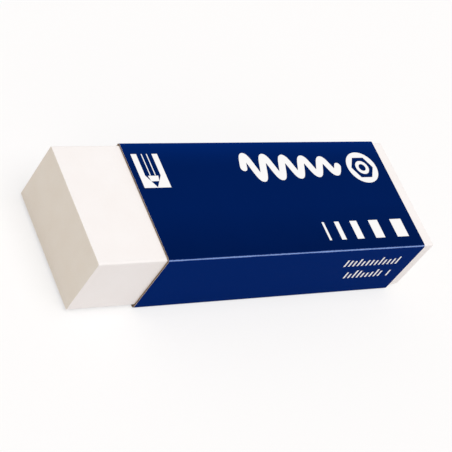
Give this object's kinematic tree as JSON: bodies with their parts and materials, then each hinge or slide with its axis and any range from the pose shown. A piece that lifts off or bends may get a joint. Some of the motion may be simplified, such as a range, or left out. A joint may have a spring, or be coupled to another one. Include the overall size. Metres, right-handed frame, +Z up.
{
  "type": "rubber eraser",
  "caption": "White vinyl eraser block in a folded and glued card sleeve that slides along it.",
  "frame": {"origin": "centre of the bounding box at its base, on the surface that the sleeve's underside rests on", "axes": "+X along the block from its long bare end to its short bare end, +Y from the sleeve's front panel to its back panel, +Z up through the thickness"},
  "size_m": [0.065, 0.022, 0.0127],
  "materials": {
    "white_vinyl": "matt",
    "printed_card": "satin"
  },
  "bodies": {
    "block": {"eraser_block": "white_vinyl"},
    "sleeve": {"card_sleeve": "printed_card"}
  },
  "joints": [
    {"name": "sleeve_slide", "type": "slide", "parent": "block", "child": "sleeve", "axis": [1, 0, 0], "range_m": [-0.01185, 0.054]}
  ]
}
